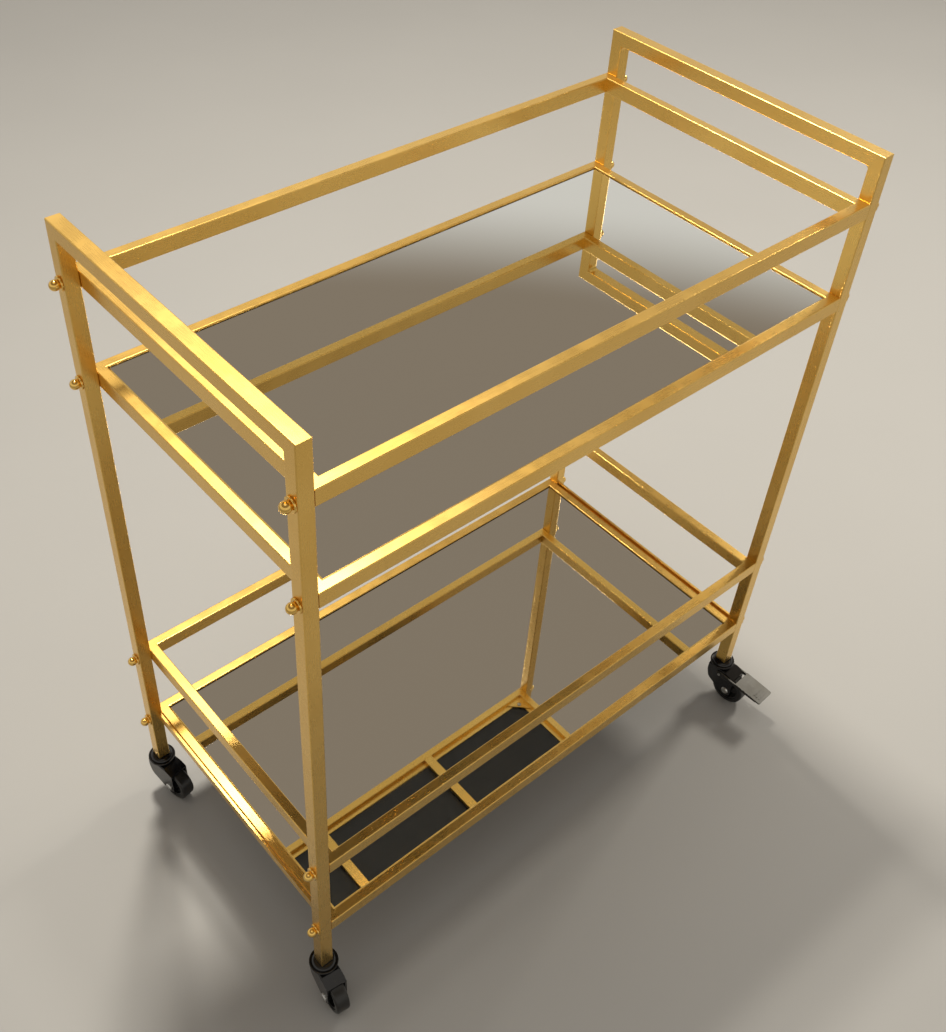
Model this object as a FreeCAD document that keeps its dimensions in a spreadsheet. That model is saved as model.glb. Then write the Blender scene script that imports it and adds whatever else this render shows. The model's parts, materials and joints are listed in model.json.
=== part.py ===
import FreeCAD, Part
import math
import os
import Sketcher

# Two-tier bar cart on four casters.
# Frame: millimetres, +Z up, X along the long side (a push handle at each X end),
# -Y is the front. The origin is on the floor, under the middle of the whole box;
# the casters trail forwards, so the cart's own middle plane is at Y = middle_y.

doc = FreeCAD.newDocument("bar_cart")
sizes = doc.addObject("Spreadsheet::Sheet", "Sizes")

SIZES = [
    # the whole cart
    ("cart_length", 740.0),
    ("cart_depth", 382.0),
    ("cart_height", 880.0),
    ("middle_y", 31.5),
    # end frames: square tube posts joined by a push handle
    ("post_side", 16.0),
    ("post_wall", 1.2),
    ("post_foot_level", 70.0),
    ("weld_radius", 5.0),
    # shelf and rail frames: upright rectangular tube, mitred at the corners
    ("bar_width", 12.0),
    ("bar_height", 18.0),
    ("bar_wall", 1.0),
    ("edge_radius", 1.2),
    # top faces of the four frames above the floor
    ("upper_rail_top", 827.0),
    ("upper_shelf_top", 710.0),
    ("lower_rail_top", 283.0),
    ("lower_shelf_top", 158.0),
    # flat stretcher between the two posts of each end frame
    ("stretcher_height", 12.0),
    ("stretcher_thick", 3.0),
    ("stretcher_gap", 2.0),
    ("stretcher_rise", 3.5),
    # shelf make-up, downwards from the frame's top face
    ("mirror_recess", 2.0),
    ("mirror_thick", 4.0),
    ("mirror_gap", 1.0),
    ("mirror_bevel", 0.8),
    ("backing_thick", 2.0),
    ("ledge_thick", 2.0),
    ("ledge_width", 9.0),
    ("cross_bar_width", 16.0),
    ("cross_bar_wall", 1.0),
    ("gusset_leg", 34.0),
    ("gusset_thick", 2.0),
    ("gusset_screw_inset", 13.0),
    ("gusset_screw_radius", 2.0),
    ("screw_head_radius", 3.6),
    ("screw_head_height", 2.2),
    # ball headed bolts through the posts
    ("bolt_radius", 3.0),
    ("bolt_hole_radius", 3.3),
    ("bolt_flange_radius", 7.6),
    ("bolt_flange_thick", 2.2),
    ("ball_radius", 5.5),
    ("ball_reach", 5.8),
    ("rail_bolt_drop", 11.0),
    ("shelf_bolt_drop", 9.0),
    ("weld_nut_radius", 5.0),
    ("weld_nut_length", 6.0),
    # casters, each in its own frame: origin on the floor under the stem,
    # local X points the way the wheel trails
    ("caster_trail", 23.0),
    ("wheel_radius", 25.0),
    ("tyre_width", 18.0),
    ("tyre_shoulder", 3.0),
    ("hub_radius", 19.0),
    ("hub_rim", 3.0),
    ("hub_rim_width", 16.0),
    ("hub_web", 5.0),
    ("hub_boss_radius", 7.0),
    ("hub_boss_width", 19.6),
    ("axle_radius", 3.0),
    ("axle_head_radius", 5.5),
    ("axle_head_thick", 2.2),
    ("running_gap", 0.05),
    ("clear_gap", 0.4),
    ("fork_width", 26.0),
    ("fork_sheet", 2.5),
    ("fork_back_drop", 14.5),
    ("heel_back", 9.0),
    ("heel_level", 30.0),
    ("heel_round", 12.0),
    ("lug_reach", 8.5),
    ("lug_corner", 4.0),
    ("crown_top", 58.5),
    ("crown_front", 13.0),
    ("crown_back", 16.0),
    ("hood_reach", 31.0),
    ("hood_drop", 5.5),
    ("race_radius", 14.0),
    ("race_inner_radius", 11.0),
    ("race_height", 4.0),
    ("cap_radius", 17.5),
    ("cap_rim", 1.8),
    ("cap_rim_width", 1.4),
    ("cap_groove", 0.5),
    ("cap_shoulder_radius", 11.5),
    ("plug_flange", 2.0),
    ("plug_height", 26.0),
    ("stem_radius", 4.0),
    ("stem_head_radius", 6.5),
    ("stem_head_thick", 3.0),
    # brake pedals of the two right hand casters
    ("pivot_offset", 8.0),
    ("pivot_level", 50.5),
    ("pivot_radius", 2.0),
    ("pedal_droop", 6.0),
    ("pedal_start", 28.0),
    ("pedal_end", 72.0),
    ("pedal_width", 31.0),
    ("pedal_rise", 4.0),
    ("pedal_thick", 2.5),
    ("pedal_arm_sheet", 2.0),
    ("pedal_arm_inner", 13.4),
    ("pedal_arm_depth", 4.0),
    ("pedal_arm_nose", 5.0),
    ("pedal_arm_crest", 4.5),
    ("grip_height", 0.7),
    ("grip_width", 1.6),
    ("grip_pitch", 4.0),
    ("grip_inset", 5.0),
]
for row, (alias, value) in enumerate(SIZES, start=1):
    sizes.set("A%d" % row, alias)
    sizes.set("B%d" % row, str(value))
    sizes.setAlias("B%d" % row, alias)

# rest headings of the casters: the way each wheel trails, degrees from +X
CASTER_HEADINGS = {
    "left_front": -97.0,
    "left_back": -79.0,
    "right_front": -86.0,
    "right_back": -85.0,
}
BRAKED = ("right_front", "right_back")
doc.recompute()


def worked_out(expression):
    """Number that an expression over the sheet comes to."""
    return float(sizes.evalExpression(expression))


def named(text):
    """Put the sheet's name before every alias in an expression."""
    words = []
    word = ""
    for letter in text + " ":
        if letter.isalnum() or letter == "_":
            word += letter
            continue
        if word:
            is_alias = word[0].isalpha() and word not in ("sqrt", "sin", "cos", "tan")
            words.append("Sizes." + word if is_alias else word)
            word = ""
        words.append(letter)
    return "".join(words).strip()


def value_of(text):
    return worked_out(named(text))


def new_body(label):
    body = doc.addObject("PartDesign::Body", label)
    body.Label = label
    return body


def new_sketch(body, name, role, offset=None):
    """Sketch on one of the body's own origin planes, moved along its normal."""
    sketch = body.newObject("Sketcher::SketchObject", name)
    plane = [f for f in body.Origin.OriginFeatures if f.Role == role][0]
    sketch.AttachmentSupport = [(plane, "")]
    sketch.MapMode = "FlatFace"
    if offset:
        sketch.setExpression("AttachmentOffset.Base.z", named(offset))
    doc.recompute()
    return sketch


def pin_point(sketch, geometry, point, across, up):
    """Fix one point of a sketch at two expressions from the sketch's origin."""
    for kind, text in (("DistanceX", across), ("DistanceY", up)):
        number = sketch.addConstraint(
            Sketcher.Constraint(kind, -1, 1, geometry, point, value_of(text)))
        sketch.setExpression("Constraints[%d]" % number, named(text))


def add_loop(sketch, corners):
    """Closed loop of straight lines; every corner is a pair of expressions."""
    points = [FreeCAD.Vector(value_of(x), value_of(y), 0) for x, y in corners]
    first = sketch.GeometryCount
    count = len(points)
    for i in range(count):
        sketch.addGeometry(Part.LineSegment(points[i], points[(i + 1) % count]), False)
    for i in range(count):
        following = first + (i + 1) % count
        sketch.addConstraint(Sketcher.Constraint("Coincident", first + i, 2, following, 1))
    for i, (x, y) in enumerate(corners):
        pin_point(sketch, first + i, 1, x, y)


def add_circle(sketch, across, up, radius):
    centre = FreeCAD.Vector(value_of(across), value_of(up), 0)
    circle = Part.Circle(centre, FreeCAD.Vector(0, 0, 1), value_of(radius))
    index = sketch.addGeometry(circle, False)
    pin_point(sketch, index, 3, across, up)
    number = sketch.addConstraint(Sketcher.Constraint("Radius", index, value_of(radius)))
    sketch.setExpression("Constraints[%d]" % number, named(radius))


def rectangle(x_low, y_low, x_high, y_high):
    return [(x_low, y_low), (x_high, y_low), (x_high, y_high), (x_low, y_high)]


def pad(body, name, sketch, length, both_ways=False):
    feature = body.newObject("PartDesign::Pad", name)
    feature.Profile = sketch
    feature.setExpression("Length", named(length))
    if both_ways:
        feature.SideType = "Symmetric"
    doc.recompute()
    return feature


def pocket(body, name, sketch, length, both_ways=False, reverse=False):
    """Cut, with a check that the cut really took material away."""
    before = body.Shape.Volume
    feature = body.newObject("PartDesign::Pocket", name)
    feature.Profile = sketch
    feature.setExpression("Length", named(length))
    if both_ways:
        feature.SideType = "Symmetric"
    feature.Reversed = reverse
    doc.recompute()
    if not body.Shape.Volume < before - 0.01:
        raise ValueError(name + " of " + body.Label + " cuts nothing")
    return feature


def round_edges(body, name, radius, wanted):
    """Fillet the edges of the body's tip that the test function picks."""
    tip = body.Tip
    names = []
    for number, edge in enumerate(tip.Shape.Edges, start=1):
        if wanted(edge):
            names.append("Edge%d" % number)
    if not names:
        raise ValueError(name + " of " + body.Label + " finds no edges")
    feature = body.newObject("PartDesign::Fillet", name)
    feature.Base = (tip, names)
    feature.setExpression("Radius", named(radius))
    doc.recompute()
    return feature


def runs_along(edge, direction):
    """True for a straight edge parallel to the direction."""
    if not isinstance(edge.Curve, Part.Line):
        return False
    way = edge.Curve.Direction
    return abs(abs(way.dot(direction)) - 1.0) < 1e-6


def near(number, targets):
    return min(abs(number - target) for target in targets) < 1e-4


def place(item, x, y, z, turn=0.0):
    """Put a piece at expressions from the cart's middle, turned about +Z."""
    item.Placement.Rotation = FreeCAD.Rotation(FreeCAD.Vector(0, 0, 1), turn)
    for axis, text in (("x", x), ("y", y + " + middle_y"), ("z", z)):
        item.setExpression("Placement.Base." + axis, named(text))
    doc.recompute()


def make_box(name, size, corner):
    """Part box: three expressions for its size, three for its lowest corner."""
    box = doc.addObject("Part::Box", name)
    box.Label = name
    for side, text in zip(("Length", "Width", "Height"), size):
        box.setExpression(side, named(text))
    place(box, *corner)
    return box


def gathered(label, items):
    """One node made of several document objects that each keep their own solid."""
    group = doc.addObject("Part::Compound", label)
    group.Label = label
    group.Links = items
    doc.recompute()
    return group


# ---------------------------------------------------------------- end frames

LEVELS = ("upper_rail", "upper_shelf", "lower_rail", "lower_shelf")


def bolt_drop(level):
    """How far the bolts of a frame sit below its top face."""
    return "rail_bolt_drop" if level.endswith("rail") else "shelf_bolt_drop"


def make_post(label, x, y, turn):
    """Square tube, mitred at the top towards local +Y, drilled for the bolts."""
    body = new_body(label)
    outline = new_sketch(body, "outline", "YZ_Plane")
    height = "(cart_height - post_foot_level)"
    add_loop(outline, [
        ("-post_side / 2", "0"),
        ("post_side / 2", "0"),
        ("post_side / 2", height + " - post_side"),
        ("-post_side / 2", height),
    ])
    pad(body, "bar", outline, "post_side", both_ways=True)
    half = value_of("post_side / 2")
    up = FreeCAD.Vector(0, 0, 1)
    round_edges(body, "corners", "edge_radius", lambda e: runs_along(e, up))
    bore = new_sketch(body, "bore", "XY_Plane")
    inner = "(post_side / 2 - post_wall)"
    add_loop(bore, rectangle("-" + inner, "-" + inner, inner, inner))
    pocket(body, "hollow", bore, "cart_height - post_foot_level", reverse=True)
    holes = new_sketch(body, "bolt_holes", "YZ_Plane")
    for level in LEVELS:
        add_circle(holes, "0", level + "_top - " + bolt_drop(level) + " - post_foot_level",
                   "bolt_hole_radius")
    pocket(body, "drilling", holes, "post_side * 2", both_ways=True)
    if abs(body.Shape.BoundBox.XMax - half) > 0.01:
        raise ValueError(label + " is not centred on its axis")
    place(body, x, y, "post_foot_level", turn)
    return body


def make_handle(label, x):
    """Push handle: mitred square tube with a weld fillet inside each corner."""
    body = new_body(label)
    outline = new_sketch(body, "outline", "YZ_Plane")
    half = "cart_depth / 2"
    add_loop(outline, [
        ("-" + half, "0"),
        (half, "0"),
        (half + " - post_side", "-post_side"),
        ("-" + half + " + post_side", "-post_side"),
    ])
    pad(body, "bar", outline, "post_side", both_ways=True)
    across = FreeCAD.Vector(0, 1, 0)
    round_edges(body, "corners", "edge_radius", lambda e: runs_along(e, across))
    bore = new_sketch(body, "bore", "XZ_Plane")
    inner = "(post_side / 2 - post_wall)"
    add_loop(bore, rectangle("-" + inner, "-post_side + post_wall", inner, "-post_wall"))
    pocket(body, "hollow", bore, "cart_depth", both_ways=True)
    welds = new_sketch(body, "welds", "YZ_Plane")
    for sign in (-1, 1):
        corner_y = "%d * (cart_depth / 2 - post_side)" % sign
        along_y = "%d * (cart_depth / 2 - post_side - weld_radius)" % sign
        add_concave_corner(welds, corner_y, "-post_side", along_y,
                           "-post_side - weld_radius", "weld_radius")
    pad(body, "weld_fillets", welds, "post_side - 2 * edge_radius", both_ways=True)
    place(body, x, "0", "cart_height")
    return body


def add_concave_corner(sketch, corner_x, corner_y, far_x, far_y, radius):
    """Corner filled up to a quarter circle that is centred at (far_x, far_y)."""
    corner = FreeCAD.Vector(value_of(corner_x), value_of(corner_y), 0)
    along = FreeCAD.Vector(value_of(far_x), corner.y, 0)
    down = FreeCAD.Vector(corner.x, value_of(far_y), 0)
    centre = FreeCAD.Vector(along.x, down.y, 0)
    start = math.atan2(down.y - centre.y, down.x - centre.x)
    end = math.atan2(along.y - centre.y, along.x - centre.x)
    first = sketch.GeometryCount
    sketch.addGeometry(Part.LineSegment(corner, along), False)
    sketch.addGeometry(Part.LineSegment(down, corner), False)
    circle = Part.Circle(centre, FreeCAD.Vector(0, 0, 1), value_of(radius))
    turns_left = (end - start) % (2 * math.pi) < math.pi
    low, high = (start, end) if turns_left else (end, start)
    arc = sketch.addGeometry(Part.ArcOfCircle(circle, low, high), False)
    down_end, along_end = (1, 2) if turns_left else (2, 1)
    sketch.addConstraint(Sketcher.Constraint("Coincident", first, 1, first + 1, 2))
    sketch.addConstraint(Sketcher.Constraint("Coincident", first, 2, arc, along_end))
    sketch.addConstraint(Sketcher.Constraint("Coincident", first + 1, 1, arc, down_end))
    pin_point(sketch, first, 1, corner_x, corner_y)
    pin_point(sketch, first, 2, far_x, corner_y)
    pin_point(sketch, first + 1, 1, corner_x, far_y)
    number = sketch.addConstraint(Sketcher.Constraint("Radius", arc, value_of(radius)))
    sketch.setExpression("Constraints[%d]" % number, named(radius))


def make_stretcher(name, x):
    """Flat bar on edge, welded between the two posts of an end frame."""
    return make_box(name,
                    ("stretcher_thick", "cart_depth - 2 * post_side", "stretcher_height"),
                    (x, "-cart_depth / 2 + post_side",
                     "lower_shelf_top + stretcher_rise - stretcher_height"))


nodes = []
post_x = "(cart_length / 2 - post_side / 2)"
post_y = "(cart_depth / 2 - post_side / 2)"
for side, sign in (("left", "-"), ("right", "")):
    x = sign + post_x
    nodes.append(make_post(side + "_front_post", x, "-" + post_y, 0.0))
    nodes.append(make_post(side + "_back_post", x, post_y, 180.0))
    nodes.append(make_handle(side + "_handle", x))
inner_face = "(cart_length / 2 - post_side)"
nodes.append(gathered("end_stretchers", [
    make_stretcher("left_stretcher", "-" + inner_face + " - stretcher_gap - stretcher_thick"),
    make_stretcher("right_stretcher", inner_face + " + stretcher_gap"),
]))


# ------------------------------------------------- shelf and guard rail frames

def make_ring_tube(label, length, x, y, level, turn, drilled):
    """Mitred tube of a frame: outer face on local Y = 0, inner side at +Y."""
    body = new_body(label)
    outline = new_sketch(body, "outline", "XY_Plane")
    half = "(" + length + ") / 2"
    add_loop(outline, [
        ("-" + half, "0"),
        (half, "0"),
        (half + " - bar_width", "bar_width"),
        ("-" + half + " + bar_width", "bar_width"),
    ])
    pad(body, "bar", outline, "bar_height")
    along = FreeCAD.Vector(1, 0, 0)
    round_edges(body, "corners", "edge_radius", lambda e: runs_along(e, along))
    bore = new_sketch(body, "bore", "YZ_Plane")
    add_loop(bore, rectangle("bar_wall", "bar_wall",
                             "bar_width - bar_wall", "bar_height - bar_wall"))
    pocket(body, "hollow", bore, length, both_ways=True)
    if drilled:
        holes = new_sketch(body, "bolt_holes", "XZ_Plane")
        for sign in ("-", ""):
            add_circle(holes, sign + post_y, "bar_height - " + bolt_drop(level),
                       "bolt_hole_radius")
        pocket(body, "drilling", holes, "bar_wall * 2")
    place(body, x, y, level + "_top - bar_height", turn)
    return body


frame_length = "cart_length - 2 * post_side"
for level in LEVELS:
    nodes.append(make_ring_tube(level + "_front_tube", frame_length,
                                "0", "-cart_depth / 2", level, 0.0, False))
    nodes.append(make_ring_tube(level + "_back_tube", frame_length,
                                "0", "cart_depth / 2", level, 180.0, False))
    nodes.append(make_ring_tube(level + "_left_tube", "cart_depth",
                                "-" + inner_face, "0", level, -90.0, True))
    nodes.append(make_ring_tube(level + "_right_tube", "cart_depth",
                                inner_face, "0", level, 90.0, True))


# ------------------------------------------------------------- shelf make-up

def joined(label, shapes):
    """One document object for several separate solids drawn from the cart's middle."""
    item = doc.addObject("Part::Feature", label)
    item.Label = label
    item.Shape = Part.makeCompound(shapes)
    item.setExpression("Placement.Base.y", named("middle_y"))
    return item


def make_mirror(label, level):
    """Glass plate with a small bevel all round its upper edge."""
    body = new_body(label)
    outline = new_sketch(body, "outline", "XY_Plane")
    half_x = "(" + inner_face + " - bar_width - mirror_gap)"
    half_y = "(cart_depth / 2 - bar_width - mirror_gap)"
    add_loop(outline, rectangle("-" + half_x, "-" + half_y, half_x, half_y))
    plate = pad(body, "plate", outline, "mirror_thick")
    top = value_of("mirror_thick")
    rim = []
    for number, edge in enumerate(plate.Shape.Edges, start=1):
        if all(abs(vertex.Z - top) < 1e-6 for vertex in edge.Vertexes):
            rim.append("Edge%d" % number)
    bevel = body.newObject("PartDesign::Chamfer", "bevel")
    bevel.Base = (plate, rim)
    bevel.setExpression("Size", named("mirror_bevel"))
    doc.recompute()
    place(body, "0", "0", level + "_top - mirror_recess - mirror_thick")
    return body


half_shelf_x = "(" + inner_face + " - bar_width)"
half_shelf_y = "(cart_depth / 2 - bar_width)"


def under_panel(level):
    """Level of the underside of the backing board."""
    return level + "_top - mirror_recess - mirror_thick - backing_thick"


def make_backing(label, level):
    """Black backing board under the mirror glass."""
    return make_box(label,
                    ("2 * (" + half_shelf_x + " - mirror_gap)",
                     "2 * (" + half_shelf_y + " - mirror_gap)", "backing_thick"),
                    ("-" + half_shelf_x + " + mirror_gap",
                     "-" + half_shelf_y + " + mirror_gap", under_panel(level)))


def make_ledges(label, level):
    """Four flat strips welded inside the frame; the shelf panel rests on them."""
    z = under_panel(level) + " - ledge_thick"
    strips = []
    for side, y in (("_front", "-" + half_shelf_y), ("_back", half_shelf_y + " - ledge_width")):
        strips.append(make_box(label + side, ("2 * " + half_shelf_x, "ledge_width", "ledge_thick"),
                               ("-" + half_shelf_x, y, z)))
    short = "2 * (" + half_shelf_y + " - ledge_width)"
    for side, x in (("_left", "-" + half_shelf_x), ("_right", half_shelf_x + " - ledge_width")):
        strips.append(make_box(label + side, ("ledge_width", short, "ledge_thick"),
                               (x, "-" + half_shelf_y + " + ledge_width", z)))
    return gathered(label, strips)


def make_cross_bars(label, level):
    """Two tubes under the panel, front to back, a third of the shelf apart."""
    bottom = level + "_top - bar_height"
    height = "(bar_height - mirror_recess - mirror_thick - backing_thick - ledge_thick)"
    bars = []
    for side, centre in (("_left", "-" + inner_face + " / 3"), ("_right", inner_face + " / 3")):
        outer = make_box(label + side + "_outside",
                         ("cross_bar_width", "2 * " + half_shelf_y, height),
                         (centre + " - cross_bar_width / 2", "-" + half_shelf_y, bottom))
        inner = make_box(label + side + "_inside",
                         ("cross_bar_width - 2 * cross_bar_wall", "2 * " + half_shelf_y,
                          height + " - 2 * cross_bar_wall"),
                         (centre + " - cross_bar_width / 2 + cross_bar_wall",
                          "-" + half_shelf_y, bottom + " + cross_bar_wall"))
        bar = doc.addObject("Part::Cut", label + side)
        bar.Base = outer
        bar.Tool = inner
        bars.append(bar)
    return gathered(label, bars)


def make_gussets(label, level):
    """Three-cornered plates under the ledges, one in each corner, with a hole."""
    half_x = value_of(half_shelf_x)
    half_y = value_of(half_shelf_y)
    leg = value_of("gusset_leg")
    thick = value_of("gusset_thick")
    inset = value_of("gusset_screw_inset")
    top = value_of(under_panel(level) + " - ledge_thick")
    plates = []
    for sx in (-1, 1):
        for sy in (-1, 1):
            corner = FreeCAD.Vector(sx * half_x, sy * half_y, top - thick)
            outline = [corner, corner - FreeCAD.Vector(sx * leg, 0, 0),
                       corner - FreeCAD.Vector(0, sy * leg, 0), corner]
            plate = Part.Face(Part.makePolygon(outline)).extrude(FreeCAD.Vector(0, 0, thick))
            hole = Part.makeCylinder(
                value_of("gusset_screw_radius"), thick,
                corner - FreeCAD.Vector(sx * inset, sy * inset, 0))
            plates.append(plate.cut(hole))
    return joined(label, plates)


def gusset_screws(level):
    """Pan head screws, one up through each gusset to the backing board."""
    half_x = value_of(half_shelf_x)
    half_y = value_of(half_shelf_y)
    inset = value_of("gusset_screw_inset")
    under = value_of(under_panel(level) + " - ledge_thick - gusset_thick")
    shank = value_of("gusset_screw_radius")
    head = value_of("screw_head_radius")
    head_height = value_of("screw_head_height")
    length = value_of("gusset_thick + ledge_thick")
    screws = []
    for sx in (-1, 1):
        for sy in (-1, 1):
            foot = FreeCAD.Vector(sx * (half_x - inset), sy * (half_y - inset), under)
            thread = Part.makeCylinder(shank, length, foot)
            pan = Part.makeCylinder(head, head_height, foot, FreeCAD.Vector(0, 0, -1))
            lower_rim = [edge for edge in pan.Edges
                         if isinstance(edge.Curve, Part.Circle)
                         and edge.Curve.Center.z < under - head_height / 2]
            pan = pan.makeFillet(head_height * 0.6, lower_rim)
            screws.append(thread.fuse(pan).removeSplitter())
    return screws


for level in ("upper_shelf", "lower_shelf"):
    nodes.append(make_mirror(level + "_mirror", level))
    nodes.append(make_backing(level + "_backing", level))
    nodes.append(make_ledges(level + "_ledges", level))
    nodes.append(make_cross_bars(level + "_cross_bars", level))
    nodes.append(make_gussets(level + "_gussets", level))


# ------------------------------------------------------------------ fasteners

def ball_bolt(x_sign, y, z):
    """Bolt with a round flange and a ball for a head, along X, head outwards."""
    face = value_of("cart_length / 2")
    inner = value_of("cart_length / 2 - post_side - bar_wall - weld_nut_length")
    outwards = FreeCAD.Vector(x_sign, 0, 0)
    flange = value_of("bolt_flange_thick")
    reach = value_of("ball_reach")
    shank = Part.makeCylinder(value_of("bolt_radius"), face - inner,
                              FreeCAD.Vector(x_sign * inner, y, z), outwards)
    disc = Part.makeCylinder(value_of("bolt_flange_radius"), flange,
                             FreeCAD.Vector(x_sign * face, y, z), outwards)
    rims = [edge for edge in disc.Edges if isinstance(edge.Curve, Part.Circle)]
    disc = disc.makeFillet(flange * 0.4, rims)
    ball = Part.makeSphere(value_of("ball_radius"),
                           FreeCAD.Vector(x_sign * (face + reach), y, z), outwards)
    return shank.fuse([disc, ball]).removeSplitter()


def weld_nut(x_sign, y, z):
    """Threaded bush welded behind the outer wall of a frame's end tube."""
    wall = value_of("cart_length / 2 - post_side - bar_wall")
    start = FreeCAD.Vector(x_sign * wall, y, z)
    inwards = FreeCAD.Vector(-x_sign, 0, 0)
    length = value_of("weld_nut_length")
    outer = Part.makeCylinder(value_of("weld_nut_radius"), length, start, inwards)
    inner = Part.makeCylinder(value_of("bolt_radius"), length, start, inwards)
    return outer.cut(inner)


def bolt_positions():
    for level in LEVELS:
        for sign in (-1, 1):
            yield (sign * value_of(post_y), value_of(level + "_top - " + bolt_drop(level)))


for side, x_sign in (("left", -1), ("right", 1)):
    nodes.append(joined(side + "_ball_bolts",
                        [ball_bolt(x_sign, y, z) for y, z in bolt_positions()]))
nodes.append(joined("weld_nuts", [
    weld_nut(x_sign, y, z) for x_sign in (-1, 1) for y, z in bolt_positions()]))
nodes.append(joined("gusset_screws", [
    screw for level in ("upper_shelf", "lower_shelf") for screw in gusset_screws(level)]))


# -------------------------------------------------------------------- casters

def caster_spot(corner):
    """Where a caster's stem stands: two expressions for X and Y."""
    x = post_x if corner.startswith("right") else "-" + post_x
    y = post_y if corner.endswith("back") else "-" + post_y
    return x, y


def at_every_post(shape):
    """Copies of a shape, one on the axis of each post."""
    copies = []
    for corner in CASTER_HEADINGS:
        x, y = caster_spot(corner)
        copy = shape.copy()
        copy.translate(FreeCAD.Vector(value_of(x), value_of(y), 0))
        copies.append(copy)
    return copies


def plug_shape():
    """Square plug in the foot of a post, with a flange and a threaded bore."""
    foot = value_of("post_foot_level")
    side = value_of("post_side")
    inner = value_of("post_side - 2 * post_wall")
    flange = value_of("plug_flange")
    height = value_of("plug_height")
    plate = Part.makeBox(side, side, flange,
                         FreeCAD.Vector(-side / 2, -side / 2, foot - flange))
    block = Part.makeBox(inner, inner, height,
                         FreeCAD.Vector(-inner / 2, -inner / 2, foot))
    bore = Part.makeCylinder(value_of("stem_radius"), flange + height,
                             FreeCAD.Vector(0, 0, foot - flange))
    return plate.fuse(block).cut(bore).removeSplitter()


def stem_shape():
    """Threaded stem with the riveted head that carries the fork."""
    crown_under = value_of("crown_top - fork_sheet - clear_gap")
    head = value_of("stem_head_thick")
    top = value_of("post_foot_level + plug_height - 2")
    shaft = Part.makeCylinder(value_of("stem_radius"), top - crown_under,
                              FreeCAD.Vector(0, 0, crown_under))
    rivet = Part.makeCylinder(value_of("stem_head_radius"), head,
                              FreeCAD.Vector(0, 0, crown_under - head))
    return shaft.fuse(rivet).removeSplitter()


def cap_shape():
    """Round dust cap over the swivel race: a raised rim, a groove, then a dome."""
    bottom = value_of("crown_top + race_height + clear_gap")
    top = value_of("post_foot_level - plug_flange")
    boss = value_of("crown_top + clear_gap")
    rim = bottom + value_of("cap_rim")
    groove = rim - value_of("cap_groove")
    outer = value_of("cap_radius")
    rim_inner = value_of("cap_radius - cap_rim_width")
    dome_foot = value_of("cap_radius - 2 * cap_rim_width")
    shoulder = value_of("cap_shoulder_radius")
    stem = value_of("stem_radius")
    boss_radius = value_of("race_inner_radius - 2")
    start = FreeCAD.Vector(dome_foot, 0, groove)
    end = FreeCAD.Vector(shoulder, 0, top)
    bulge = FreeCAD.Vector(dome_foot * 0.55 + shoulder * 0.45, 0,
                           groove * 0.28 + top * 0.72)
    dome = Part.Arc(start, bulge, end).toShape()
    line = [
        end, FreeCAD.Vector(stem, 0, top), FreeCAD.Vector(stem, 0, boss),
        FreeCAD.Vector(boss_radius, 0, boss), FreeCAD.Vector(boss_radius, 0, bottom),
        FreeCAD.Vector(outer, 0, bottom), FreeCAD.Vector(outer, 0, rim),
        FreeCAD.Vector(rim_inner, 0, rim), start,
    ]
    edges = [dome] + [Part.LineSegment(a, b).toShape() for a, b in zip(line, line[1:])]
    face = Part.Face(Part.Wire(Part.__sortEdges__(edges)))
    turned = face.revolve(FreeCAD.Vector(0, 0, 0), FreeCAD.Vector(0, 0, 1), 360)
    rim_edges = [edge for edge in turned.Edges
                 if isinstance(edge.Curve, Part.Circle) and near(edge.Curve.Radius, [outer])
                 and near(edge.Curve.Center.z, [rim])]
    return turned.makeFillet(value_of("cap_rim_width / 2"), rim_edges)


nodes.append(joined("post_plugs", at_every_post(plug_shape())))
nodes.append(joined("caster_stems", at_every_post(stem_shape())))
nodes.append(joined("caster_caps", at_every_post(cap_shape())))


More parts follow.
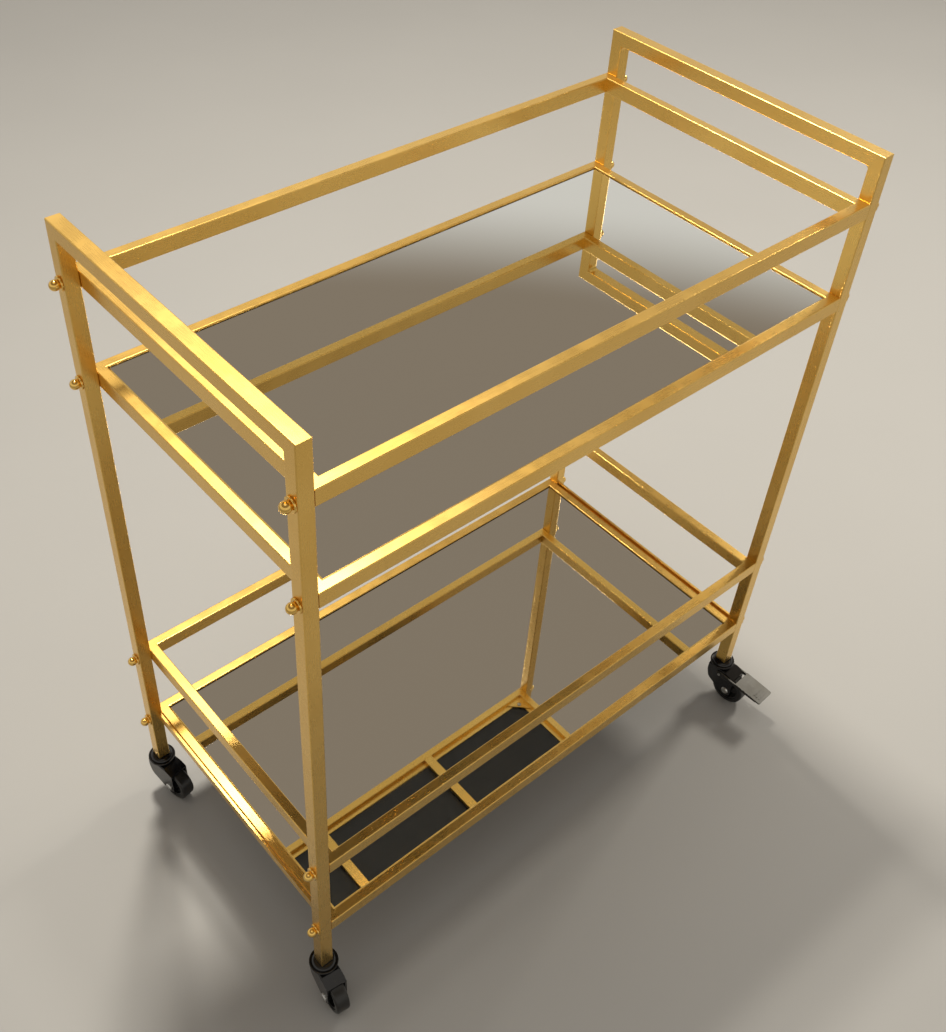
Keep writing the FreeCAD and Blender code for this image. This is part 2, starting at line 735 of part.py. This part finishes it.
def make_fork(label, braked):
    """Pressed fork: crown plate, hood over the wheel, race ring and two legs."""
    body = new_body(label)
    profile = new_sketch(body, "side_profile", "XZ_Plane")
    axle_x = "caster_trail"
    axle_z = "wheel_radius"
    add_loop(profile, [
        ("-crown_front", "crown_top"),
        ("crown_back", "crown_top"),
        ("hood_reach", "crown_top - hood_drop"),
        (axle_x + " + lug_reach", axle_z + " + lug_corner"),
        (axle_x + " + lug_reach", axle_z + " - lug_corner"),
        (axle_x + " + lug_corner", axle_z + " - lug_reach"),
        (axle_x + " - lug_corner", axle_z + " - lug_reach"),
        ("-heel_back", "heel_level"),
        ("-crown_front", "crown_top - fork_back_drop"),
    ])
    pad(body, "block", profile, "fork_width", both_ways=True)
    sideways = FreeCAD.Vector(0, 1, 0)
    below_hood = value_of("crown_top - hood_drop - 1")

    def heel_bend(edge):
        start = edge.Vertexes[0]
        return runs_along(edge, sideways) and start.Z < below_hood and start.X < 0

    def lug_bend(edge):
        start = edge.Vertexes[0]
        return runs_along(edge, sideways) and start.Z < below_hood and start.X > 0

    round_edges(body, "lug_bends", "fork_sheet", lug_bend)
    round_edges(body, "heel_bends", "heel_round", heel_bend)
    lengthways = FreeCAD.Vector(1, 0, 0)
    top = value_of("crown_top")

    def crown_shoulder(edge):
        return runs_along(edge, lengthways) and near(edge.Vertexes[0].Z, [top])

    round_edges(body, "crown_shoulders", "fork_sheet", crown_shoulder)
    slot = new_sketch(body, "wheel_slot", "XZ_Plane")
    crown_under = "crown_top - fork_sheet"
    add_loop(slot, [
        ("-2 * crown_front", "0"),
        ("-2 * crown_front", crown_under),
        ("crown_back", crown_under),
        ("hood_reach", crown_under + " - hood_drop"),
        ("2 * hood_reach", crown_under + " - hood_drop"),
        ("2 * hood_reach", "0"),
    ])
    pocket(body, "slot", slot, "fork_width - 2 * fork_sheet", both_ways=True)
    race = new_sketch(body, "race_circles", "XY_Plane", "crown_top")
    add_circle(race, "0", "0", "race_radius")
    add_circle(race, "0", "0", "race_inner_radius")
    pad(body, "race", race, "race_height")
    stem_hole = new_sketch(body, "stem_hole", "XY_Plane", "crown_top")
    add_circle(stem_hole, "0", "0", "stem_radius + running_gap")
    pocket(body, "stem_bore", stem_hole, "fork_sheet * 2")
    pins = new_sketch(body, "pin_holes", "XZ_Plane")
    add_circle(pins, axle_x, axle_z, "axle_radius")
    if braked:
        add_circle(pins, "pivot_offset", "pivot_level", "pivot_radius")
    pocket(body, "pin_bores", pins, "fork_width * 2", both_ways=True)
    return body


def make_axle(label):
    """Axle pin with a round head on each side of the fork."""
    body = new_body(label)
    half = "(fork_width / 2)"
    sketch = new_sketch(body, "axle_profile", "XY_Plane")
    add_loop(sketch, [
        ("0", "-" + half + " - axle_head_thick"),
        ("axle_head_radius - 1.2", "-" + half + " - axle_head_thick"),
        ("axle_head_radius", "-" + half + " - axle_head_thick + 1.2"),
        ("axle_head_radius", "-" + half),
        ("axle_radius", "-" + half),
        ("axle_radius", half),
        ("axle_head_radius", half),
        ("axle_head_radius", half + " + axle_head_thick - 1.2"),
        ("axle_head_radius - 1.2", half + " + axle_head_thick"),
        ("0", half + " + axle_head_thick"),
    ])
    turn_about_y(body, "axle", sketch)
    return body


def turn_about_y(body, name, sketch):
    feature = body.newObject("PartDesign::Revolution", name)
    feature.Profile = sketch
    feature.ReferenceAxis = (sketch, ["V_Axis"])
    feature.Angle = 360.0
    doc.recompute()
    return feature


def make_hub(label):
    """Wheel hub: boss on the axle, thin web, rim that carries the tyre."""
    body = new_body(label)
    sketch = new_sketch(body, "hub_profile", "XY_Plane")
    bore = "(axle_radius + running_gap)"
    rim_inner = "(hub_radius - hub_rim)"
    half_boss = "hub_boss_width / 2"
    half_web = "hub_web / 2"
    half_rim = "hub_rim_width / 2"
    add_loop(sketch, [
        (bore, "-" + half_boss),
        ("hub_boss_radius", "-" + half_boss),
        ("hub_boss_radius", "-" + half_web),
        (rim_inner, "-" + half_web),
        (rim_inner, "-" + half_rim),
        ("hub_radius", "-" + half_rim),
        ("hub_radius", half_rim),
        (rim_inner, half_rim),
        (rim_inner, half_web),
        ("hub_boss_radius", half_web),
        ("hub_boss_radius", half_boss),
        (bore, half_boss),
    ])
    turn_about_y(body, "hub", sketch)
    return body


def make_tyre(label):
    """Tyre ring with rounded shoulders."""
    body = new_body(label)
    sketch = new_sketch(body, "tyre_profile", "XY_Plane")
    half = "tyre_width / 2"
    add_loop(sketch, rectangle("hub_radius", "-" + half, "wheel_radius", half))
    turn_about_y(body, "tyre", sketch)
    outer = value_of("wheel_radius")

    def shoulder(edge):
        return isinstance(edge.Curve, Part.Circle) and near(edge.Curve.Radius, [outer])

    round_edges(body, "shoulders", "tyre_shoulder", shoulder)
    return body


def make_pedal(label):
    """Brake pedal round its pivot: two arms outside the fork and a ribbed tread plate."""
    body = new_body(label)
    arm = new_sketch(body, "arm_profile", "XZ_Plane")
    add_loop(arm, [
        ("-pedal_arm_nose", "-pedal_arm_nose / 2"),
        ("-pedal_arm_depth / 2", "-pedal_arm_depth"),
        ("pedal_arm_depth", "-pedal_arm_depth + pivot_radius / 2"),
        ("pedal_start", "pedal_rise - 1.5 * pedal_thick"),
        ("pedal_end - 3 * pedal_thick", "pedal_rise - pedal_thick / 2"),
        ("pedal_end - 2 * pedal_thick", "pedal_rise"),
        ("pedal_end - 2 * pedal_thick", "pedal_rise + pedal_thick / 2"),
        ("pedal_start", "pedal_rise + pedal_thick / 2"),
        ("0", "pedal_arm_crest"),
        ("-pedal_arm_nose", "pivot_radius"),
    ])
    outer = "(pedal_arm_inner + pedal_arm_sheet)"
    pad(body, "block", arm, "2 * " + outer, both_ways=True)
    between = new_sketch(body, "between_arms", "YZ_Plane")
    add_loop(between, rectangle("-pedal_arm_inner", "-2 * pedal_arm_depth",
                                "pedal_arm_inner", "pedal_rise"))
    pocket(body, "underside", between, "3 * pedal_end", both_ways=True)
    opening = new_sketch(body, "front_opening", "XY_Plane", "2 * pedal_rise")
    add_loop(opening, rectangle("-2 * pedal_arm_nose", "-pedal_arm_inner",
                                "pedal_start", "pedal_arm_inner"))
    pocket(body, "front_gap", opening, "2 * pedal_rise")
    tread = new_sketch(body, "tread_outline", "XY_Plane", "pedal_rise")
    add_loop(tread, rectangle("pedal_start", "-pedal_width / 2", "pedal_end",
                              "pedal_width / 2"))
    pad(body, "tread", tread, "pedal_thick")
    up = FreeCAD.Vector(0, 0, 1)
    far_end = value_of("pedal_end")

    def far_corner(edge):
        return runs_along(edge, up) and near(edge.Vertexes[0].X, [far_end])

    round_edges(body, "tread_corners", "pedal_thick", far_corner)
    grips = new_sketch(body, "grip_ribs", "XY_Plane", "pedal_rise + pedal_thick")
    for number in range(3):
        far = "(pedal_end - grip_inset - %d * grip_pitch)" % number
        half_rib = "(pedal_width / 2 - 6)"
        add_loop(grips, rectangle(far + " - grip_width", "-" + half_rib, far, half_rib))
    pad(body, "grips", grips, "grip_height")
    pivots = new_sketch(body, "pivot_holes", "XZ_Plane")
    add_circle(pivots, "0", "0", "pivot_radius + running_gap")
    pocket(body, "pivot_bores", pivots, "pedal_width * 2", both_ways=True)
    return body


def make_pivot_pin(label):
    """Pin that the brake pedal turns on, fixed in the fork."""
    pin = doc.addObject("Part::Cylinder", label)
    pin.Label = label
    pin.setExpression("Radius", named("pivot_radius"))
    pin.setExpression("Height", named("2 * (pedal_arm_inner + pedal_arm_sheet + 1)"))
    return pin


def set_on_caster(item, corner, x_local, y_local, z, lean=None):
    """Place a piece given in a caster's frame; lean is its own turn in that frame."""
    spot_x, spot_y = caster_spot(corner)
    heading = CASTER_HEADINGS[corner]
    turn = FreeCAD.Rotation(FreeCAD.Vector(0, 0, 1), heading)
    if lean:
        turn = turn.multiply(lean)
    item.Placement.Rotation = turn
    cosine = "(%.12f)" % math.cos(math.radians(heading))
    sine = "(%.12f)" % math.sin(math.radians(heading))
    item.setExpression("Placement.Base.x", named(
        "%s + %s * (%s) - %s * (%s)" % (spot_x, cosine, x_local, sine, y_local)))
    item.setExpression("Placement.Base.y", named(
        "middle_y + %s + %s * (%s) + %s * (%s)" % (
            spot_y, sine, x_local, cosine, y_local)))
    item.setExpression("Placement.Base.z", named(z))
    doc.recompute()


pin_lean = FreeCAD.Rotation(FreeCAD.Vector(1, 0, 0), 90.0)
pedal_lean = FreeCAD.Rotation(FreeCAD.Vector(0, 1, 0), value_of("pedal_droop"))
for corner in CASTER_HEADINGS:
    fork = make_fork(corner + "_fork", corner in BRAKED)
    set_on_caster(fork, corner, "0", "0", "0")
    nodes.append(fork)
    for maker, piece in ((make_axle, "axle"), (make_hub, "hub"), (make_tyre, "tyre")):
        turned = maker(corner + "_" + piece)
        set_on_caster(turned, corner, "caster_trail", "0", "wheel_radius")
        nodes.append(turned)
    if corner in BRAKED:
        pedal = make_pedal(corner + "_brake_pedal")
        set_on_caster(pedal, corner, "pivot_offset", "0", "pivot_level", pedal_lean)
        nodes.append(pedal)
        pin = make_pivot_pin(corner + "_brake_pin")
        set_on_caster(pin, corner, "pivot_offset",
                      "pedal_arm_inner + pedal_arm_sheet + 1", "pivot_level", pin_lean)
        nodes.append(pin)


# --------------------------------------------------------------------- export

doc.recompute()
for item in doc.Objects:
    if "Invalid" in item.State or "Error" in item.State:
        raise ValueError(item.Label + " did not recompute")
os.makedirs("parts", exist_ok=True)
for item in nodes:
    shape = item.Shape
    if shape.isNull() or not shape.isValid():
        raise ValueError(item.Label + " has no valid shape")
    shape.exportStep("parts/" + item.Label + ".step")
    box = shape.BoundBox
    print("%-28s solids %2d  volume %10.1f  x %8.2f %8.2f  y %8.2f %8.2f  z %8.2f %8.2f" % (
        item.Label, len(shape.Solids), shape.Volume,
        box.XMin, box.XMax, box.YMin, box.YMax, box.ZMin, box.ZMax))
print(len(nodes), "nodes")
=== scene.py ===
import json

import bpy
from mathutils import Matrix, Vector

# Looks of the two-tier bar cart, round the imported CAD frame. Metres, +Z up, -Y is the front.

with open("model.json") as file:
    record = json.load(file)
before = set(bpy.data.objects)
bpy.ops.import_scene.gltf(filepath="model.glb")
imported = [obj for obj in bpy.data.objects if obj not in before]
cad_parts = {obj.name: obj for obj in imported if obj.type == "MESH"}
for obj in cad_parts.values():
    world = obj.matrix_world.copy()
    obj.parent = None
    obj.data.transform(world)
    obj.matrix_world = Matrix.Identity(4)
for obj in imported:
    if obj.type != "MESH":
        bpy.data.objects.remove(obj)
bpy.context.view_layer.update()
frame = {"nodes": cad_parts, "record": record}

# The casters trail forwards, so the cart's own middle plane lies behind the box's middle.
MIDDLE_Y = 0.0315
CART_MIDDLE = (0.0, MIDDLE_Y, 0.45)

# Outputs of the Texture Coordinate node.
DIRECTION = 0
NORMAL = 1
OBJECT = 3

# Places of the sockets of a Mix node that is set to colour.
MIX_SHARE = 0
MIX_FIRST = 6
MIX_SECOND = 7
MIX_COLOUR = 2

# Other outputs that are read by number.
LENGTH = 1
HEIGHT = 2

# ------------------------------------------------------------ shader helpers


class Paint:
    """Node tree of one material or world, with short calls that add nodes."""

    def __init__(self, owner):
        owner.use_nodes = True
        self.tree = owner.node_tree
        self.tree.nodes.clear()

    def feed(self, socket, value):
        """Link an input to another node's output, or set it to a plain value."""
        if isinstance(value, bpy.types.NodeSocket):
            self.tree.links.new(value, socket)
        else:
            socket.default_value = value

    def add(self, kind, out=0, settings=None, **inputs):
        """New node; its inputs go by name, with _ for a space, or by number, as i0, i1."""
        node = self.tree.nodes.new(kind)
        for key, value in (settings or {}).items():
            setattr(node, key, value)
        for key, value in inputs.items():
            by_number = key[0] == "i" and key[1:].isdigit()
            self.feed(node.inputs[int(key[1:]) if by_number else key.replace("_", " ")], value)
        return node.outputs[out]

    def coordinates(self, which):
        return self.add("ShaderNodeTexCoord", out=which)

    def math(self, operation, first, second):
        return self.add("ShaderNodeMath", settings={"operation": operation}, i0=first, i1=second)

    def noise(self, where, scale, detail=4.0, roughness=0.5):
        return self.add("ShaderNodeTexNoise", Vector=where, Scale=scale, Detail=detail,
                        Roughness=roughness)

    def stretched(self, where, scales):
        return self.add("ShaderNodeMapping", Vector=where, Scale=scales)

    def height(self, vector):
        return self.add("ShaderNodeSeparateXYZ", out=HEIGHT, Vector=vector)

    def remap(self, value, from_low, from_high, to_low, to_high):
        """Smooth step from one range of values to another."""
        return self.add("ShaderNodeMapRange", settings={"interpolation_type": "SMOOTHSTEP"},
                        i0=value, i1=from_low, i2=from_high, i3=to_low, i4=to_high)

    def mix(self, share, first, second):
        """Colour that goes from first to second as share goes from 0 to 1."""
        node = self.tree.nodes.new("ShaderNodeMix")
        node.data_type = "RGBA"
        self.feed(node.inputs[MIX_SHARE], share)
        self.feed(node.inputs[MIX_FIRST], first)
        self.feed(node.inputs[MIX_SECOND], second)
        return node.outputs[MIX_COLOUR]

    def bump(self, strength, distance, height):
        return self.add("ShaderNodeBump", Strength=strength, Distance=distance, Height=height)

    def surface(self, **inputs):
        shader = self.add("ShaderNodeBsdfPrincipled", **inputs)
        output = self.tree.nodes.new("ShaderNodeOutputMaterial")
        self.tree.links.new(shader, output.inputs["Surface"])


def rgb(red, green, blue):
    return (red, green, blue, 1.0)


def gold(name, grain_along, polish=0.0):
    """Satin gold plating with a fine brushed grain along one axis and slight tarnish."""
    material = bpy.data.materials.new(name)
    paint = Paint(material)
    here = paint.coordinates(OBJECT)
    scales = [3500.0, 3500.0, 3500.0]
    scales[grain_along] = 60.0
    grain = paint.noise(paint.stretched(here, scales), 1.0, detail=2.0, roughness=0.5)
    cloud = paint.noise(here, 7.0, detail=3.0, roughness=0.5)
    smear = paint.noise(here, 38.0, detail=3.0, roughness=0.5)
    specks = paint.noise(here, 700.0, detail=1.0, roughness=0.4)
    colour = paint.mix(paint.remap(cloud, 0.35, 0.65, 0.0, 1.0), rgb(0.88, 0.575, 0.165),
                       rgb(0.82, 0.520, 0.135))
    colour = paint.mix(paint.remap(specks, 0.70, 0.84, 0.0, 0.12), colour,
                       rgb(0.50, 0.31, 0.09))
    rough = paint.remap(smear, 0.3, 0.75, 0.265 - 0.18 * polish, 0.30 - 0.19 * polish)
    rough = paint.math("ADD", rough, paint.remap(grain, 0.3, 0.7, -0.012, 0.012))
    relief = paint.math("MULTIPLY", grain, 1.0 - polish)
    bump = paint.bump(0.05, 0.0001, relief)
    paint.surface(Base_Color=colour, Metallic=1.0, Roughness=rough, Normal=bump)
    return material


def mirror_glass(name):
    """Silvered glass: clear reflection, faint green cast, a little dust and wiping marks."""
    material = bpy.data.materials.new(name)
    paint = Paint(material)
    here = paint.coordinates(OBJECT)
    dust_and_sheen = paint.noise(here, 1400.0, detail=2.0, roughness=0.5)
    wipe = paint.noise(paint.stretched(here, (5.0, 16.0, 5.0)), 1.6, detail=5.0, roughness=0.55)
    speck = paint.remap(dust_and_sheen, 0.70, 0.86, 0.0, 0.25)
    colour = paint.mix(speck, rgb(0.80, 0.815, 0.80), rgb(0.66, 0.65, 0.63))
    rough = paint.remap(wipe, 0.42, 0.72, 0.008, 0.030)
    paint.surface(Base_Color=colour, Metallic=1.0, Roughness=rough, Coat_Weight=0.6,
                  Coat_Roughness=0.01, Coat_IOR=1.5)
    return material


def dark_plastic(name, base, edge, rough_low, rough_high, pitch, strength):
    """Moulded or painted dark surface: fine skin, uneven gloss, pale scuffs."""
    material = bpy.data.materials.new(name)
    paint = Paint(material)
    here = paint.coordinates(OBJECT)
    skin = paint.noise(here, pitch, detail=3.0, roughness=0.55)
    cloud = paint.noise(here, 60.0, detail=4.0, roughness=0.5)
    scratch = paint.noise(paint.stretched(here, (900.0, 120.0, 300.0)), 1.0, detail=5.0,
                          roughness=0.7)
    colour = paint.mix(paint.remap(cloud, 0.3, 0.7, 0.0, 0.6), base, edge)
    colour = paint.mix(paint.remap(scratch, 0.66, 0.75, 0.0, 0.55), colour,
                       rgb(0.22, 0.21, 0.19))
    rough = paint.remap(cloud, 0.3, 0.72, rough_low, rough_high)
    bump = paint.bump(strength, 0.0002, skin)
    paint.surface(Base_Color=colour, Metallic=0.0, Roughness=rough, Normal=bump)
    return material


def dusty_plastic_with_painted_sheen(name):
    """Black plastic whose upward faces are painted lighter grey as a painted sheen, standing in
    for the light they reflect, and made a little rougher as if dusty.
    """
    material = bpy.data.materials.new(name)
    paint = Paint(material)
    here = paint.coordinates(OBJECT)
    upward = paint.height(paint.coordinates(NORMAL))
    cloud = paint.noise(here, 55.0, detail=5.0, roughness=0.6)
    scuff = paint.noise(paint.stretched(here, (700.0, 90.0, 200.0)), 1.0, detail=4.0)
    # Painted sheen: faces that look upward get a lighter grey colour for the light that falls on
    # them, and a little more roughness.
    dust_and_sheen = paint.math("MULTIPLY", paint.remap(upward, 0.85, 0.97, 0.0, 1.0),
                      paint.remap(cloud, 0.30, 0.65, 0.70, 1.0))
    # The paler grey here is the painted sheen on the upward faces.
    colour = paint.mix(dust_and_sheen, rgb(0.012, 0.012, 0.011), rgb(0.080, 0.074, 0.056))
    colour = paint.mix(paint.remap(scuff, 0.64, 0.74, 0.0, 0.35), colour,
                       rgb(0.20, 0.19, 0.16))
    rough = paint.math("ADD", paint.remap(cloud, 0.3, 0.7, 0.22, 0.30),
                       paint.math("MULTIPLY", dust_and_sheen, 0.12))
    bump = paint.bump(0.2, 0.0002, paint.noise(here, 1500.0, detail=3.0))
    paint.surface(Base_Color=colour, Metallic=0.0, Roughness=rough, Normal=bump)
    return material


def zinc(name):
    """Zinc plated steel: pale, slightly mottled, soft shine."""
    material = bpy.data.materials.new(name)
    paint = Paint(material)
    here = paint.coordinates(OBJECT)
    mottle = paint.noise(here, 260.0, detail=5.0, roughness=0.65)
    fine = paint.noise(here, 2600.0, detail=2.0)
    colour = paint.mix(paint.remap(mottle, 0.3, 0.7, 0.0, 1.0), rgb(0.66, 0.66, 0.64),
                       rgb(0.40, 0.40, 0.39))
    bump = paint.bump(0.2, 0.0001, fine)
    paint.surface(Base_Color=colour, Metallic=1.0,
                  Roughness=paint.remap(mottle, 0.3, 0.7, 0.24, 0.42), Normal=bump)
    return material


# ------------------------------------------------------------- the finishes

gold_x = gold("gold_grain_x", 0)
gold_y = gold("gold_grain_y", 1)
gold_z = gold("gold_grain_z", 2)
gold_ball = gold("gold_polished", 2, polish=0.75)
mirror = mirror_glass("mirror_glass")
backing = dark_plastic("mirror_back_paint", rgb(0.012, 0.012, 0.013), rgb(0.02, 0.02, 0.021),
                       0.42, 0.6, 1500.0, 0.15)
black_metal = dark_plastic("black_coated_metal", rgb(0.006, 0.006, 0.007),
                           rgb(0.010, 0.010, 0.011), 0.10, 0.20, 1800.0, 0.06)
black_plastic = dark_plastic("black_plastic", rgb(0.008, 0.008, 0.008),
                             rgb(0.014, 0.013, 0.012), 0.16, 0.28, 1200.0, 0.10)
rubber = dark_plastic("black_rubber", rgb(0.009, 0.009, 0.009), rgb(0.018, 0.017, 0.015),
                      0.28, 0.45, 2200.0, 0.25)
pedal_plastic = dusty_plastic_with_painted_sheen("pedal_plastic")
steel = zinc("zinc_plated_steel")

SLOT_MATERIALS = {
    "mirror_glass": mirror,
    "mirror_back": backing,
    "zinc_steel": steel,
    "black_metal": black_metal,
    "black_plastic": black_plastic,
    "black_rubber": rubber,
    "pedal_plastic": pedal_plastic,
}


def gold_for(node):
    """Gold with its grain along the bar."""
    if "ball_bolts" in node:
        return gold_ball
    if node.endswith("_post"):
        return gold_z
    along_x = node.endswith(("front_tube", "back_tube", "gussets", "ledges"))
    return gold_x if along_x else gold_y


for part in frame["record"]["subparts"]:
    cad_object = frame["nodes"][part["node"]]
    slot_name = part["material_slot"]
    finish = SLOT_MATERIALS.get(slot_name) or gold_for(part["node"])
    cad_object.data.materials.clear()
    cad_object.data.materials.append(finish)

# ------------------------------------------------------------ studio and camera

FLOOR_REACH = 14.0
FLOOR_NEAR = (rgb(0.36, 0.36, 0.36), rgb(0.38, 0.38, 0.38))
FLOOR_FAR = rgb(0.80, 0.78, 0.74)
FLOOR_FADE = (2.5, 9.0)

# The sky is given by the height of its direction, the sine of the elevation. The mirrors
# show the low wall where they are seen flat, and the taupe where they are seen steeply.
LOW_WALL = rgb(0.72, 0.69, 0.63)
TAUPE = rgb(0.265, 0.215, 0.160)
OVERHEAD = rgb(1.10, 1.07, 1.00)
TAUPE_STARTS = (0.49, 0.56)
OVERHEAD_STARTS = (0.90, 0.97)

WARM_WHITE = (1.0, 0.93, 0.80)


def studio_floor():
    """Large plain floor, grey under the cart and paler far away."""
    corners = [(x * FLOOR_REACH, y * FLOOR_REACH, 0)
               for x, y in ((-1, -1), (1, -1), (1, 1), (-1, 1))]
    mesh = bpy.data.meshes.new("studio_floor")
    mesh.from_pydata(corners, [], [(0, 1, 2, 3)])
    floor = bpy.data.objects.new("studio_floor", mesh)
    bpy.context.scene.collection.objects.link(floor)
    material = bpy.data.materials.new("studio_floor_paint")
    paint = Paint(material)
    here = paint.coordinates(OBJECT)
    near = paint.mix(paint.noise(here, 3.0, detail=3.0), *FLOOR_NEAR)
    how_far = paint.add("ShaderNodeVectorMath", out=LENGTH, settings={"operation": "LENGTH"},
                        i0=here)
    colour = paint.mix(paint.remap(how_far, *FLOOR_FADE, 0.0, 1.0), near, FLOOR_FAR)
    paint.surface(Base_Color=colour, Roughness=0.6)
    mesh.materials.append(material)


def studio_sky():
    """Soft light from all round, in three bands from the horizon to overhead."""
    world = bpy.data.worlds.new("studio_sky")
    bpy.context.scene.world = world
    sky = Paint(world)
    height = sky.height(sky.coordinates(DIRECTION))
    wall = sky.mix(sky.remap(height, *TAUPE_STARTS, 0.0, 1.0), LOW_WALL, TAUPE)
    colour = sky.mix(sky.remap(height, *OVERHEAD_STARTS, 0.0, 1.0), wall, OVERHEAD)
    shader = sky.add("ShaderNodeBackground", Color=colour, Strength=1.0)
    output = sky.tree.nodes.new("ShaderNodeOutputWorld")
    sky.tree.links.new(shader, output.inputs["Surface"])


def soft_light(name, place, side, power):
    """Square area light that faces the middle of the cart."""
    data = bpy.data.lights.new(name, "AREA")
    data.shape = "RECTANGLE"
    data.size = side
    data.size_y = side
    data.energy = power
    data.color = WARM_WHITE
    light = bpy.data.objects.new(name, data)
    light.location = place
    facing = Vector(CART_MIDDLE) - Vector(place)
    light.rotation_mode = "QUATERNION"
    light.rotation_quaternion = facing.to_track_quat("-Z", "Y")
    bpy.context.scene.collection.objects.link(light)


def photo_camera():
    """Camera at chest height, left of the front, looking down at the cart."""
    place = Vector((-0.7285, -0.7404 + MIDDLE_Y, 1.4554))
    looking = Vector((0.4971, 0.5367, -0.6818)).normalized()
    upwards = Vector((0.4162, 0.542, 0.7301)).normalized()
    sideways = looking.cross(upwards).normalized()
    upwards = sideways.cross(looking)
    data = bpy.data.cameras.new("photo_camera")
    data.sensor_width = 36.0
    data.lens = 42.36
    data.shift_x = 0.0249
    data.shift_y = -0.0316
    data.clip_start = 0.05
    data.clip_end = 60.0
    camera = bpy.data.objects.new("photo_camera", data)
    turn = Matrix((sideways, upwards, -looking)).transposed().to_4x4()
    camera.matrix_world = Matrix.Translation(place) @ turn
    bpy.context.scene.collection.objects.link(camera)
    bpy.context.scene.camera = camera


studio_floor()
studio_sky()
soft_light("key_light", (0.28, 1.16, 3.15), 0.4, 90.0)
soft_light("side_light", (3.0, 0.25, 2.4), 0.6, 50.0)
photo_camera()
bpy.context.scene.view_settings.view_transform = "Standard"
